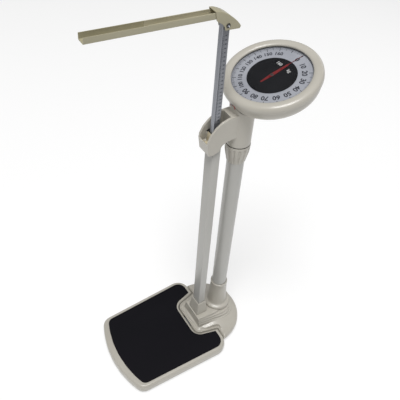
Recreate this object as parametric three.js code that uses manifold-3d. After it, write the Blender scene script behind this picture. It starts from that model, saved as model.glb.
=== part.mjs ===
// Column weighing scale: a lever platform, two uprights, a round dial head and a sliding height rod.
// Millimetres, +Z up, front towards -Y. The lengths are worked out about the rear edge of the platform
// (y = 0) and the whole scale is then centred over the origin.
import * as THREE from 'three';
import { mergeVertices } from 'three/addons/utils/BufferGeometryUtils.js';
import Module from 'manifold-3d';

const wasm = await Module();
wasm.setup();

// ---- driving dimensions ----
const GAP = 0.3; // clearance between pieces that touch
const PLATFORM_HALF_WIDTH = 160;
const PLATFORM_FRONT_HALF_WIDTH = 147;
const PLATFORM_LENGTH = 324;
const FRONT_BOW = 34;
const PLATFORM_TOP = 38.5;
const PLATFORM_REAR = 6;
const SKIRT_BOTTOM = 8;
const PLATFORM_UNDERSIDE = 36;
const NOTCH_FRONT = -70;
const NOTCH_HALF_FRONT = 66;
const NOTCH_HALF_REAR = 85;
const NOTCH_CORNER = 24;
const SEAM = 1.3; // between the platform and the rear cover
const MAT_TOP = 40.3;
const LOBE_RADIUS = 125;
const LOBE_TOP = 36;
const PLINTH_TOP = 78;
const PAN_BOTTOM = 6;
const PAN_TOP = 9;
const TUBE_Y = -24.8;
const TUBE = { width: 35, depth: 24.8, wall: 1.5, bottom: 84, top: 862 };
const ROD = { width: 14.8, depth: 18, wall: 1.4, bottom: 270, top: 1155.5 };
const COLUMN_Y = 53.2;
const COLUMN = { radius: 24, wall: 2, bottom: 94, top: 848 };
const DIAL = { y: 128.2, z: 987.8, tilt: (16.7 * Math.PI) / 180, faceRadius: 98.6, bezelRadius: 123.6 };
const PIVOT = { y: TUBE_Y, z: 1151 };
const ARM = { halfWidth: 11.3, height: 13.5, wall: 1.4, rise: (3.3 * Math.PI) / 180, tip: -335,
  root: -46, bottom: 1168.8 };
const CRANK = { y: 76.6, z: 896.6, lift: 44 };
const PINION = { radius: 2.973, teeth: 10 };
const LONG_FULCRUM = { y: -300, z: 12.4 };
const SHORT_FULCRUM = { y: -20, z: 20.4 };

// ---- materials ----
const finish = (color, roughness, metalness) => () => new THREE.MeshStandardMaterial({ color, roughness,
  metalness });
const cream = finish(0xaaa79e, 0.45, 0);
const tubeGrey = finish(0xa4a3a0, 0.4, 0.1);
const panGrey = finish(0x8f8d86, 0.6, 0);
const rubber = finish(0x161519, 0.85, 0);
const steel = finish(0x8a8c90, 0.35, 0.9);
const zinc = finish(0x9c9da0, 0.45, 0.8);
const brass = finish(0xb08d4a, 0.35, 0.9);
const aluminium = finish(0x96989e, 0.35, 0.8);
const olive = finish(0xa8a28c, 0.45, 0.2);
const black = finish(0x0f0e0d, 0.5, 0);
const dialGrey = finish(0x9699a5, 0.6, 0);
const red = finish(0x6e1e23, 0.4, 0);
const clear = finish(0xe8eef0, 0.05, 0);
const beige = finish(0xb9ad90, 0.5, 0);

const root = new THREE.Group();
const scale = new THREE.Group();
root.add(scale);
const head = new THREE.Group();
scale.add(head);
head.position.set(0, DIAL.y, DIAL.z);
head.rotation.x = DIAL.tilt;

function put(name, geometry, material, group = scale) {
  const mesh = new THREE.Mesh(welded(geometry), material());
  mesh.name = name;
  group.add(mesh);
  return mesh;
}

// ---- solids ----
// shared corners, and every face turned outwards
function welded(geometry) {
  const plain = new THREE.BufferGeometry();
  plain.setAttribute('position', geometry.getAttribute('position'));
  if (geometry.index) plain.setIndex(geometry.index);
  const result = mergeVertices(plain, 1e-4);
  const position = result.getAttribute('position');
  const faces = [];
  let volume = 0;
  const [a, b, c] = [0, 0, 0].map(() => new THREE.Vector3());
  for (let i = 0; i < result.index.count; i += 3) {
    const face = [0, 1, 2].map((k) => result.index.getX(i + k));
    if (face[0] === face[1] || face[1] === face[2] || face[2] === face[0]) continue;
    [a, b, c].forEach((corner, k) => corner.fromBufferAttribute(position, face[k]));
    volume += a.dot(b.cross(c));
    faces.push(face);
  }
  result.setIndex((volume < 0 ? faces.map(([i, j, k]) => [i, k, j]) : faces).flat());
  return result;
}

function toSolid(geometry) {
  const mesh = welded(geometry);
  return new wasm.Manifold(new wasm.Mesh({
    numProp: 3,
    vertProperties: new Float32Array(mesh.getAttribute('position').array),
    triVerts: new Uint32Array(mesh.index.array),
  }));
}

function toGeometry(solid) {
  const mesh = solid.getMesh();
  const geometry = new THREE.BufferGeometry();
  geometry.setAttribute('position', new THREE.BufferAttribute(new Float32Array(mesh.vertProperties), 3));
  geometry.setIndex(new THREE.BufferAttribute(new Uint32Array(mesh.triVerts), 1));
  return geometry;
}

const join = (...parts) => toGeometry(parts.map(toSolid).reduce((all, part) => all.add(part)));
const cut = (body, ...tools) => toGeometry(tools.map(toSolid).reduce((all, tool) => all.subtract(tool),
  toSolid(body)));
const common = (a, b) => toGeometry(toSolid(a).intersect(toSolid(b)));

function box(x0, x1, y0, y1, z0, z1) {
  return new THREE.BoxGeometry(x1 - x0, y1 - y0, z1 - z0).translate((x0 + x1) / 2, (y0 + y1) / 2,
    (z0 + z1) / 2);
}

// a solid turned about a vertical axis, from [radius, height] pairs
function turned(profile, segments = 32, x = 0, y = 0) {
  const points = profile.map(([r, z]) => new THREE.Vector2(r, z));
  return new THREE.LatheGeometry(points, segments).rotateX(Math.PI / 2).translate(x, y, 0);
}

const rodAlongZ = (r, z0, z1, x = 0, y = 0, segments = 20) => turned([[0, z0], [r, z0], [r, z1],
  [0, z1]], segments, x, y);
const pipe = (r, inner, z0, z1, x = 0, y = 0, segments = 32) =>
  turned([[inner, z0], [r, z0], [r, z1], [inner, z1], [inner, z0]], segments, x, y);

function rodAlongX(r, x0, x1, y, z, segments = 16) {
  return new THREE.CylinderGeometry(r, r, x1 - x0,
    segments).rotateZ(Math.PI / 2).translate((x0 + x1) / 2, y, z);
}

// a side profile given as [y, z] pairs, given its thickness from x0 to x1
function plate(profile, x0, x1, holes = []) {
  const shape = new THREE.Shape(profile.map(([y, z]) => new THREE.Vector2(y, z)));
  for (const [y, z, r] of holes) shape.holes.push(new THREE.Path().absarc(y, z, r, 0, 2 * Math.PI, true));
  const geometry = new THREE.ExtrudeGeometry(shape, { depth: x1 - x0, bevelEnabled: false,
    curveSegments: 8 });
  return geometry.applyMatrix4(new THREE.Matrix4().set(0, 0, 1, x0, 1, 0, 0, 0, 0, 1, 0, 0, 0, 0, 0, 1));
}

function slab(outline, z0, z1, holes = []) {
  const shape = new THREE.Shape(outline);
  for (const hole of holes) shape.holes.push(new THREE.Path(hole));
  return new THREE.ExtrudeGeometry(shape, { depth: z1 - z0, bevelEnabled: false }).translate(0, 0, z0);
}

// a corner list [x, y, radius], moved inwards by `inset` and with its corners rounded
function rounded(corners, inset = 0, steps = 5) {
  const count = corners.length;
  const edge = (i) => {
    const a = corners[i];
    const b = corners[(i + 1) % count];
    const direction = new THREE.Vector2(b[0] - a[0], b[1] - a[1]).normalize();
    const normal = new THREE.Vector2(-direction.y, direction.x);
    return { point: new THREE.Vector2(a[0], a[1]).addScaledVector(normal, inset), direction };
  };
  const points = [];
  for (let i = 0; i < count; i++) {
    const before = edge((i + count - 1) % count);
    const after = edge(i);
    const turn = before.direction.cross(after.direction);
    const between = after.point.clone().sub(before.point);
    const corner = Math.abs(turn) < 1e-6
      ? after.point
      : before.point.clone().addScaledVector(before.direction, between.cross(after.direction) / turn);
    const radius = corners[i][2] ? Math.max(0.8, corners[i][2] - Math.sign(turn) * inset) : 0;
    if (!radius) {
      points.push(corner);
      continue;
    }
    const angle = Math.asin(Math.max(-1, Math.min(1, turn)));
    const full = before.direction.dot(after.direction) < 0 ? Math.sign(turn) * Math.PI - angle : angle;
    const reach = radius * Math.tan(Math.abs(full) / 2);
    const start = corner.clone().addScaledVector(before.direction, -reach);
    const side = Math.sign(full);
    const centre = start.clone().add(new THREE.Vector2(-before.direction.y,
      before.direction.x).multiplyScalar(radius * side));
    for (let k = 0; k <= steps; k++) points.push(start.clone().rotateAround(centre, (full * k) / steps));
  }
  return points;
}

// a skin stretched over rings of equal point count, each {outline, z}, closed at both ends
function loft(rings) {
  const count = rings[0].outline.length;
  const position = rings.flatMap((ring) => ring.outline.flatMap((p) => [p.x, p.y, ring.z]));
  const index = [];
  for (let r = 0; r + 1 < rings.length; r++) {
    for (let i = 0; i < count; i++) {
      const j = (i + 1) % count;
      const [a, b, c, d] = [r * count + i, r * count + j, (r + 1) * count + i, (r + 1) * count + j];
      index.push(a, b, d, a, d, c);
    }
  }
  const cap = (ring, base, up) => {
    for (const [a, b, c] of THREE.ShapeUtils.triangulateShape(ring.outline, [])) {
      index.push(...(up ? [base + a, base + b, base + c] : [base + a, base + c, base + b]));
    }
  };
  cap(rings[0], 0, false);
  cap(rings.at(-1), (rings.length - 1) * count, true);
  const geometry = new THREE.BufferGeometry();
  geometry.setAttribute('position', new THREE.Float32BufferAttribute(position, 3));
  geometry.setIndex(index);
  return geometry;
}

const mirrorX = (corners) => [...corners, ...corners.map(([x, y, r]) => [-x, y, r]).reverse()];

// ---- outlines ----
// the bowed front edge, from the left front corner to the right one
function bowedFront(halfWidth, y, bow, parts = 6) {
  const points = [];
  for (let i = 1; i < parts; i++) {
    const t = (2 * i) / parts - 1;
    points.push([t * halfWidth, y - bow * (1 - t * t), 0]);
  }
  return points;
}

// the platform seen from above; `mat` gives the mat's tighter notch and flatter front
function platformOutline(inset, mat = false) {
  const grow = mat ? -4 : 0;
  const front = -PLATFORM_LENGTH + (mat ? 5 : 0);
  const bow = mat ? FRONT_BOW - 4 : FRONT_BOW;
  const halfFront = NOTCH_HALF_FRONT + grow;
  const halfRear = NOTCH_HALF_REAR + grow;
  const half = [
    [PLATFORM_FRONT_HALF_WIDTH, front, 34],
    [PLATFORM_HALF_WIDTH, PLATFORM_REAR, 42],
    [halfRear, PLATFORM_REAR, 3],
    [halfFront, NOTCH_FRONT - grow, NOTCH_CORNER],
  ];
  const left = half.map(([x, y, r]) => [-x, y, r]).reverse();
  return rounded([...half, ...left, ...bowedFront(PLATFORM_FRONT_HALF_WIDTH, front, bow)], inset);
}

// the fixed rear casting: a tongue that fills the notch, and the half-round lobe behind the platform
function lobeOutline(inset) {
  const rearY = PLATFORM_REAR + SEAM;
  const corners = [[NOTCH_HALF_FRONT - SEAM, NOTCH_FRONT + SEAM, NOTCH_CORNER - SEAM],
    [NOTCH_HALF_REAR - SEAM, rearY, 3]];
  const start = Math.asin(rearY / LOBE_RADIUS);
  const arc = [];
  const parts = 28;
  for (let i = 0; i <= parts; i++) {
    const angle = start + ((Math.PI - 2 * start) * i) / parts;
    arc.push([LOBE_RADIUS * Math.cos(angle), LOBE_RADIUS * Math.sin(angle), 0]);
  }
  const left = corners.map(([x, y, r]) => [-x, y, r]).reverse();
  return rounded([...corners, ...arc, ...left], inset);
}

// one terrace of the plinth: straight sides that widen to a half-round end behind the column
function terraceOutline(halfFront, front, halfRear, endY) {
  const points = [new THREE.Vector2(-halfFront, front), new THREE.Vector2(halfFront, front)];
  for (let i = 0; i <= 16; i++) {
    const angle = (Math.PI * i) / 16;
    points.push(new THREE.Vector2(halfRear * Math.cos(angle), endY + halfRear * Math.sin(angle)));
  }
  return points;
}

// ---- base ----
function basePan() {
  const platformRegion = platformOutline(7);
  const lobeRegion = lobeOutline(5);
  const bridge = box(-110, 110, NOTCH_FRONT - 10, 30, PAN_BOTTOM, PAN_TOP);
  const floor = join(slab(platformRegion, PAN_BOTTOM, PAN_TOP), slab(lobeRegion, PAN_BOTTOM, PAN_TOP),
    bridge);
  const wall = cut(slab(platformRegion, PAN_TOP - 0.5, 24), slab(platformOutline(10), PAN_TOP - 1, 25),
    box(-PLATFORM_HALF_WIDTH, PLATFORM_HALF_WIDTH, NOTCH_FRONT - 14, 200, 0, 60));
  return join(floor, wall);
}
put('base_pan', basePan(), panGrey);

const TERRACES = [
  { z0: 30, z1: 52, front: 49, rear: 66 },
  { z0: 51, z1: 61, front: 46.5, rear: 61 },
  { z0: 60, z1: 69, front: 44, rear: 56 },
];
const PLINTH_FRONT = -49.5;

function rearCover() {
  const lobe = loft([
    { outline: lobeOutline(3), z: PAN_TOP + GAP },
    { outline: lobeOutline(0), z: 22 },
    { outline: lobeOutline(0.8), z: 29 },
    { outline: lobeOutline(4), z: 34 },
    { outline: lobeOutline(9), z: LOBE_TOP },
  ]);
  const mound = common(turned([[0, 30], [96, 30], [96, LOBE_TOP], [64, 50], [0, 50]], 40, 0, 34),
    slab(lobeOutline(10), 20, 60));
  const terraces = TERRACES.map(({ z0, z1, front, rear }) => loft([
    { outline: terraceOutline(front, PLINTH_FRONT, rear, COLUMN_Y - 8), z: z0 },
    { outline: terraceOutline(front - 0.6, PLINTH_FRONT + 0.6, rear - 0.6, COLUMN_Y - 8), z: z1 - 1 },
    { outline: terraceOutline(front - 1.6, PLINTH_FRONT + 1.2, rear - 1.6, COLUMN_Y - 8), z: z1 },
  ]));
  const top = loft([
    { outline: terraceOutline(42, PLINTH_FRONT, 47, 14), z: 66 },
    { outline: terraceOutline(41.4, PLINTH_FRONT + 0.6, 46.4, 14), z: PLINTH_TOP - 1.2 },
    { outline: terraceOutline(40, PLINTH_FRONT + 2, 45, 14), z: PLINTH_TOP },
  ]);
  const solid = join(lobe, mound, ...terraces, top);
  return cut(solid,
    slab(lobeOutline(7), 0, 31),
    slab(terraceOutline(42, PLINTH_FRONT + 7, 56, COLUMN_Y - 8), 25, 62),
    rodAlongZ(46 + GAP, 69 + GAP, 100, 0, COLUMN_Y, 40),
    rodAlongZ(14, 50, 90, 0, COLUMN_Y),
    box(-23, 23, NOTCH_FRONT, -52, 0, 30), box(-14, 14, -56, -40, 0, 35));
}
put('rear_cover', rearCover(), cream);

for (const [name, x, y] of [
  ['foot_front_left', -112, -296], ['foot_front_right', 112, -296],
  ['foot_rear_left', -82, 62], ['foot_rear_right', 82, 62],
]) {
  put(name, turned([[0, 0], [15, 0], [17, 1.5], [17, PAN_BOTTOM - GAP], [0, PAN_BOTTOM - GAP]], 24, x,
    y), rubber);
}

// ---- platform ----
function platformShell() {
  const skin = loft([
    { outline: platformOutline(1.5), z: SKIRT_BOTTOM },
    { outline: platformOutline(0), z: 16 },
    { outline: platformOutline(0), z: 28 },
    { outline: platformOutline(1), z: 33 },
    { outline: platformOutline(3.5), z: 36.6 },
    { outline: platformOutline(7.5), z: PLATFORM_TOP },
  ]);
  return cut(skin, slab(platformOutline(4.6), 0, PLATFORM_UNDERSIDE - 2),
    slab(platformOutline(7), 20, PLATFORM_UNDERSIDE),
    box(-118, 118, NOTCH_FRONT - 12, 30, 0, 13), box(-25, 25, NOTCH_FRONT - 12, 30, 0, 30));
}
put('platform', platformShell(), cream);

const matBody = loft([
  { outline: platformOutline(13, true), z: PLATFORM_TOP + GAP },
  { outline: platformOutline(13, true), z: MAT_TOP - 0.5 },
  { outline: platformOutline(13.6, true), z: MAT_TOP },
]);
put('platform_mat', matBody, rubber);

const LONG_LOAD = { x: 72, y: -200 };
const SHORT_LOAD = { x: 38, y: -106.7 };
for (const [side, sign] of [['left', -1], ['right', 1]]) {
  const post = (x, y, z) => join(
    rodAlongZ(7, PLATFORM_UNDERSIDE - 3, PLATFORM_UNDERSIDE - GAP, x, y, 16),
    box(x - 3.5, x + 3.5, y - 4, y + 4, z, PLATFORM_UNDERSIDE - 2));
  put(`platform_post_front_${side}`, post(sign * LONG_LOAD.x, LONG_LOAD.y, 23 + GAP), steel);
  put(`platform_post_rear_${side}`, post(sign * SHORT_LOAD.x, SHORT_LOAD.y, 30 + GAP), steel);
}

// ---- levers ----
function longLever() {
  const outer = [[-124, -308], [124, -308], [8, -48], [-8, -48]].map(([x, y]) => new THREE.Vector2(x, y));
  const inner = [[-103, -296], [103, -296], [44, -170], [-44,
    -170]].map(([x, y]) => new THREE.Vector2(x, y));
  const rear = [[-38, -158], [38, -158], [2.5, -76], [-2.5, -76]].map(([x, y]) => new THREE.Vector2(x, y));
  const frame = slab(outer, 17, 23, [inner.reverse(), rear.reverse()]);
  return join(frame, box(-4, 4, -160, -141, 17, 23), box(-4, 4, -54, -44, 17, 34),
    box(-4, 4, -54, 60, 26, 34));
}
put('long_lever', longLever(), zinc);

const knifeEdge = ({ y, z }) => [[y - 3, z + 4.3], [y, z], [y + 3, z + 4.3]];
put('long_knife_bar', plate(knifeEdge(LONG_FULCRUM), -118, 118), steel);

function shortLever() {
  const outline = [[-126, -14], [-114, -12], [-78, -76], [0, -122], [78, -76], [114, -12], [126, -14],
    [88, -90],
    [8, -141], [4, -143], [4, -158], [-4, -158], [-4, -143], [-8, -141], [-88, -90]];
  return slab(outline.map(([x, y]) => new THREE.Vector2(x, y)).reverse(), 25, 30);
}
put('short_lever', shortLever(), zinc);

for (const [side, sign] of [['left', -1], ['right', 1]]) {
  const span = (inner, outer) => [Math.min(sign * inner, sign * outer),
    Math.max(sign * inner, sign * outer)];
  const [k0, k1] = span(106, 122);
  put(`short_knife_${side}`, plate(knifeEdge(SHORT_FULCRUM), k0, k1), steel);
  const [s0, s1] = span(104, 116);
  const block = ({ y, z }) => plate([[y - 7, PAN_TOP + GAP], [y + 7, PAN_TOP + GAP], [y + 5, z + 3.8],
    [y + 4.2, z + 3.8],
    [y, z - 0.8], [y - 4.2, z + 3.8], [y - 5, z + 3.8]], s0, s1);
  put(`front_bearing_${side}`, block(LONG_FULCRUM), steel);
  put(`rear_bearing_${side}`, block(SHORT_FULCRUM), steel);
}
const linkFrame = cut(box(-9, 9, -153, -147, 13.9, 34.5), box(-6, 6, -160, -140, 16.1, 32.3));
put('lever_link', linkFrame, steel);

// ---- uprights ----
function tubeSocket() {
  const ring = (margin, z) => ({
    outline: rounded(mirrorX([[TUBE.width / 2 + margin, TUBE_Y - TUBE.depth / 2 - margin, 2.5],
      [TUBE.width / 2 + margin, TUBE_Y + TUBE.depth / 2 + margin, 2.5]]), 0, 2), z,
  });
  const body = loft([ring(8.5, PLINTH_TOP + GAP), ring(8, 92), ring(3.6, 134), ring(2.6, 138)]);
  const w = TUBE.width / 2 + GAP;
  const d = TUBE.depth / 2 + GAP;
  return cut(body, box(-w, w, TUBE_Y - d, TUBE_Y + d, TUBE.bottom - GAP, 200));
}
put('tube_socket', tubeSocket(), cream);

function rectPipe(width, depth, wall, z0, z1, y) {
  const w = width / 2;
  const d = depth / 2;
  return cut(box(-w, w, y - d, y + d, z0, z1), box(-w + wall, w - wall, y - d + wall, y + d - wall,
    z0 - 1, z1 + 1));
}
put('height_tube', rectPipe(TUBE.width, TUBE.depth, TUBE.wall, TUBE.bottom, TUBE.top, TUBE_Y), tubeGrey);

const guideWidth = TUBE.width - 2 * TUBE.wall - 2 * GAP;
const guideDepth = TUBE.depth - 2 * TUBE.wall - 2 * GAP;
const guide = cut(
  box(-guideWidth / 2, guideWidth / 2, TUBE_Y - guideDepth / 2, TUBE_Y + guideDepth / 2, 822, 866),
  box(-ROD.width / 2 - GAP, ROD.width / 2 + GAP, TUBE_Y - ROD.depth / 2 - GAP,
    TUBE_Y + ROD.depth / 2 + GAP, 800, 900));
put('rod_guide', guide, black);

const columnSocket = turned([
  [COLUMN.radius + GAP, COLUMN.bottom - GAP], [15, COLUMN.bottom - GAP], [15, 69 + 2 * GAP],
    [46, 69 + 2 * GAP], [46, 82],
  [44, 86], [34, 89], [33, 92], [27.4, 186], [27, 194], [25.6, 196], [COLUMN.radius + GAP, 196],
  [COLUMN.radius + GAP, COLUMN.bottom - GAP]], 40, 0, COLUMN_Y);
put('column_socket', columnSocket, cream);
put('column', pipe(COLUMN.radius, COLUMN.radius - COLUMN.wall, COLUMN.bottom, COLUMN.top, 0, COLUMN_Y,
  40), tubeGrey);

// ribbed clamp nut under the neck: shallow flutes round a tapered body
function collarNut() {
  const ribs = 16;
  const outline = (radius, depth) => {
    const points = [];
    for (let i = 0; i < ribs * 4; i++) {
      const angle = (2 * Math.PI * i) / (ribs * 4);
      const r = i % 4 < 2 ? radius : radius - depth;
      points.push(new THREE.Vector2(r * Math.cos(angle), COLUMN_Y + r * Math.sin(angle)));
    }
    return points;
  };
  const body = loft([{ outline: outline(26.4, 0.5), z: 748 }, { outline: outline(28, 1), z: 758 },
    { outline: outline(33.2, 1.4), z: 782 }, { outline: outline(34, 0.6), z: 806 }]);
  return cut(body, rodAlongZ(COLUMN.radius + GAP, 700, 850, 0, COLUMN_Y, 40));
}
put('collar_nut', collarNut(), cream);

// ---- head bracket: two cheeks round the rod, a front wall and the neck on the column ----
const CASE_PROFILE = [[0, -50], [97, -50], [108, -46.5], [115.6, -38], [119.6, -24], [121, -9.2]];
const CASE_INSIDE = [[117.6, -9.2], [116.2, -23], [112.4, -35], [105.6, -42.6], [96, -46.4], [0, -46.4]];

function caseEnvelope(extra) {
  const profile = [[0, -50 - extra], ...CASE_PROFILE.slice(1).map(([r, z]) => [r + extra, z - extra]),
    [121 + extra, 60], [0, 60]];
  return turned(profile, 56).applyMatrix4(headMatrix());
}

function headMatrix() {
  return new THREE.Matrix4().makeRotationX(DIAL.tilt).setPosition(0, DIAL.y, DIAL.z);
}

const BRACKET_HALF = 22;
function headBracket() {
  const side = [[-52, 815], [-38, 812], [-22, 818], [-13, 834], [2, 842], [40, 842], [40, 911], [0, 911],
    [-18, 905], [-34, 894], [-47, 880], [-56, 862], [-57, 850]];
  const cheeks = plate(side, -BRACKET_HALF, BRACKET_HALF);
  const neck = rodAlongZ(33, 809, 960, 0, COLUMN_Y, 40);
  const solid = join(cheeks, neck);
  const tubeHole = box(-TUBE.width / 2 - GAP, TUBE.width / 2 + GAP,
    TUBE_Y - TUBE.depth / 2 - GAP, TUBE_Y + TUBE.depth / 2 + GAP, 780, TUBE.top + 5);
  const mouth = box(-16, 16, -43, 8, TUBE.top, 1000);
  const pocket = plate([[-70, 849], [-53.5, 849], [-50, 838], [-38, 838], [-38, 1000], [-70, 1000]],
    -16.5, 16.5);
  const bore = rodAlongZ(COLUMN.radius + GAP, 780, 851, 0, COLUMN_Y, 40);
  const cavity = rodAlongZ(29.5, 850, 1000, 0, COLUMN_Y, 40);
  return cut(solid, tubeHole, mouth, pocket, bore, cavity, caseEnvelope(GAP));
}
put('head_bracket', headBracket(), cream);

const tab = plate([[-49, 838.4], [-39, 838.4], [-39, 856], [-37.4, 868], [-38.6, 868.2], [-40.6, 856.4],
  [-40.6, 840.4],
  [-47.6, 840.4], [-51.6, 848], [-52.6, 847.6]], -9, 9);
put('rod_spring_tab', tab, beige);

// ---- dial head, built level about the middle of the dial and then tilted ----
const WINDOW = { z0: -30.5, z1: -21.5 };
const CASE_SCREW_Z = -17.3;
const ZERO_WHEEL_Y = -107.1;
function dialCase() {
  const shell = turned([...CASE_PROFILE, ...CASE_INSIDE], 56);
  const throat = rodAlongZ(26, 700, 1100, 0, COLUMN_Y, 32).applyMatrix4(headMatrix().invert());
  const screwHole = rodAlongZ(1.9, 100, 130, 0, 0, 12).rotateX(Math.PI / 2).translate(0, 0, CASE_SCREW_Z);
  return cut(shell, throat, screwHole, box(-9, 9, -125, -105, WINDOW.z0, WINDOW.z1));
}
put('dial_case', dialCase(), cream, head);

const bezelProfile = [[DIAL.faceRadius, -2.1], [DIAL.faceRadius, 0.6], [100.4, 2.4], [107, 4.6],
  [114, 4.3], [119.6, 1.6], [122.8, -3],
  [DIAL.bezelRadius, -8], [DIAL.bezelRadius, -13], [121.5, -13], [121.5, -8.8], [104, -8.8], [104, -2.1],
  [DIAL.faceRadius, -2.1]];
put('bezel', turned(bezelProfile, 56), cream, head);
put('dial_glass', turned([[0, -4], [103.6, -4], [103.6, -2.4], [98, -2.4], [60, -1.4], [0, -0.9]], 48),
  clear, head);
put('dial_plate', turned([[6, -8.6], [103.6, -8.6], [103.6, -7.2], [6, -7.2], [6, -8.6]], 48), dialGrey,
  head);
put('centre_disc', turned([[5, -6.9], [61, -6.9], [61, -6.3], [60.4, -5.9], [5, -5.9], [5, -6.9]], 40),
  black, head);

// movement plate on three legs, with a bearing hole for the pinion shaft
function movementPlate() {
  const base = slab(rounded([[-34, -88, 6], [34, -88, 6], [34, 22, 6], [-34, 22, 6]], 0, 2), -22, -20);
  const legs = [[-28, 16], [28, 16], [-28, -14], [28, -14]].map(([x, y]) => rodAlongZ(3.5, -46.1, -21,
    x, y, 10));
  const posts = [[-28, 16], [28, 16]].map(([x, y]) => rodAlongZ(3, -21, -8.9, x, y, 10));
  return cut(join(base, ...legs, ...posts), rodAlongZ(2, -30, -10), box(-26, 26, -84, -30, -30, -10));
}
put('movement_plate', movementPlate(), zinc, head);

function gearOutline(radius, teeth) {
  const points = [];
  for (let i = 0; i < teeth; i++) {
    for (const [turn, r] of [[-0.23, -0.55], [-0.11, 0.55], [0.11, 0.55], [0.23, -0.55]]) {
      const angle = (2 * Math.PI * (i + turn)) / teeth;
      points.push(new THREE.Vector2((radius + r) * Math.cos(angle), (radius + r) * Math.sin(angle)));
    }
  }
  return points;
}
const pitch = (2 * Math.PI * PINION.radius) / PINION.teeth;
put('pinion', join(slab(gearOutline(PINION.radius, PINION.teeth), -32, -26),
  rodAlongZ(1.6, -34, -4.9, 0, 0, 12)), brass, head);

// rack beside the pinion: half a pitch out of step, so that its gaps face the pinion's teeth
function rack() {
  const outline = [];
  const first = -4;
  const last = 12;
  for (let i = first; i <= last; i++) {
    for (const [step, depth] of [[-0.23, 0.75], [-0.11, -0.45], [0.11, -0.45], [0.23, 0.75]]) {
      outline.push(new THREE.Vector2(PINION.radius + depth, (i + 0.5 + step) * pitch));
    }
  }
  const y0 = (first - 0.5) * pitch;
  const y1 = (last + 1.5) * pitch;
  outline.push(new THREE.Vector2(8, y1), new THREE.Vector2(8, y0),
    new THREE.Vector2(PINION.radius + 0.8, y0));
  const bar = slab(outline.reverse(), -30, -27);
  const tail = box(5.2, 8, -79, y0 + 1, -36.5, -23.5);
  return cut(join(bar, tail), box(0, 12, -77.4, -73.8, -34.5, -25));
}
put('rack', rack(), brass, head);

// red needle with a broad blade, a thin point and a short tail
const needle = [[-1.6, -34], [1.6, -34], [3.4, -10], [4.6, 0], [3.6, 30], [2.6, 46], [0.8, 50],
  [0.5, 93], [-0.5, 93],
  [-0.8, 50], [-2.6, 46], [-3.6, 30], [-4.6, 0], [-3.4, -10]].map(([x, y]) => new THREE.Vector2(x, y));
put('pointer', cut(slab(needle, -5.5, -4.9), rodAlongZ(1.6 + GAP, -8, -2, 0, 0, 12)), red, head);
put('pointer_cap', turned([[0, -4.6], [5.5, -4.6], [5.5, -4.4], [4.4, -4.2], [0, -4.15]], 20),
  aluminium, head);

// zero-setting wheel behind the window in the front of the case
function zeroWheel() {
  const notches = 24;
  const outline = [];
  for (let i = 0; i < notches * 2; i++) {
    const angle = (Math.PI * i) / notches;
    const r = i % 2 ? 9.8 : 10.5;
    outline.push(new THREE.Vector2(r * Math.cos(angle), ZERO_WHEEL_Y + r * Math.sin(angle)));
  }
  return join(slab(outline, -29, -23), rodAlongZ(2.5, -39, -12, 0, ZERO_WHEEL_Y, 12));
}
put('zero_wheel', zeroWheel(), black, head);
put('case_screw', turned([[0, -12], [1.6, -12], [1.6, -2], [3.6, -2], [3.6, -0.6], [2.4, 0], [0, 0]], 16)
  .rotateX(Math.PI / 2).translate(0, -123, CASE_SCREW_Z), steel, head);

// ---- pull from the levers to the rack ----
function drawRod() {
  const eye = cut(box(-9, 9, COLUMN_Y - 3, COLUMN_Y + 3, 20, 41),
    box(-6, 6, COLUMN_Y - 9, COLUMN_Y + 9, 22.5, 37.5));
  const yoke = box(-16, 8.4, COLUMN_Y - 3, COLUMN_Y + 3, 884, 888);
  const ear = cut(box(5.4, 8.4, COLUMN_Y - 4, COLUMN_Y + 7, 886, 902),
    box(0, 12, COLUMN_Y - 2.2, COLUMN_Y + 4.6, 895.2, 899.2));
  return join(eye, rodAlongZ(3, 40, 885, 0, COLUMN_Y, 12), yoke, ear);
}
put('draw_rod', drawRod(), steel);

function bellCrank() {
  const lift = new THREE.Vector2(-Math.sin(DIAL.tilt), Math.cos(DIAL.tilt)).multiplyScalar(CRANK.lift);
  const topY = CRANK.y + lift.x;
  const topZ = CRANK.z + lift.y;
  const blade = plate([[COLUMN_Y - 2.6, CRANK.z - 2], [CRANK.y + 2.6, CRANK.z - 2.8],
    [CRANK.y + 2.8, CRANK.z + 2],
    [topY + 2.2, topZ + 2.2], [topY - 2.2, topZ + 2.2], [CRANK.y - 4, CRANK.z + 6],
      [COLUMN_Y - 2.6, CRANK.z + 2]], 9.4, 12);
  const pullPin = rodAlongX(1.1, 4.6, 10.4, COLUMN_Y, CRANK.z, 10);
  const rackPin = rodAlongX(1.1, 4.4, 10.4, topY, topZ, 10);
  return cut(join(blade, pullPin, rackPin), rodAlongX(1.5 + GAP / 2, 5, 14, CRANK.y, CRANK.z, 12));
}
put('bell_crank', bellCrank(), zinc);
put('crank_pin', rodAlongX(1.5, -14.2, 14.2, CRANK.y, CRANK.z, 12), steel);

function mainSpring() {
  const [coils, radius, wire, z0, z1] = [8, 5.4, 0.9, 890.5, 936];
  class Coil extends THREE.Curve {
    getPoint(t, target = new THREE.Vector3()) {
      const angle = 2 * Math.PI * coils * t;
      return target.set(-9 + radius * Math.cos(angle), COLUMN_Y + radius * Math.sin(angle),
        z0 + (z1 - z0) * t);
    }
  }
  const section = new THREE.Shape();
  for (let i = 0; i < 5; i++) {
    const angle = (2 * Math.PI * i) / 5;
    const point = [wire * Math.cos(angle), wire * Math.sin(angle)];
    if (i) section.lineTo(...point);
    else section.moveTo(...point);
  }
  return new THREE.ExtrudeGeometry(section, { steps: coils * 12, extrudePath: new Coil(),
    bevelEnabled: false });
}
put('main_spring', mainSpring(), steel);

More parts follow.
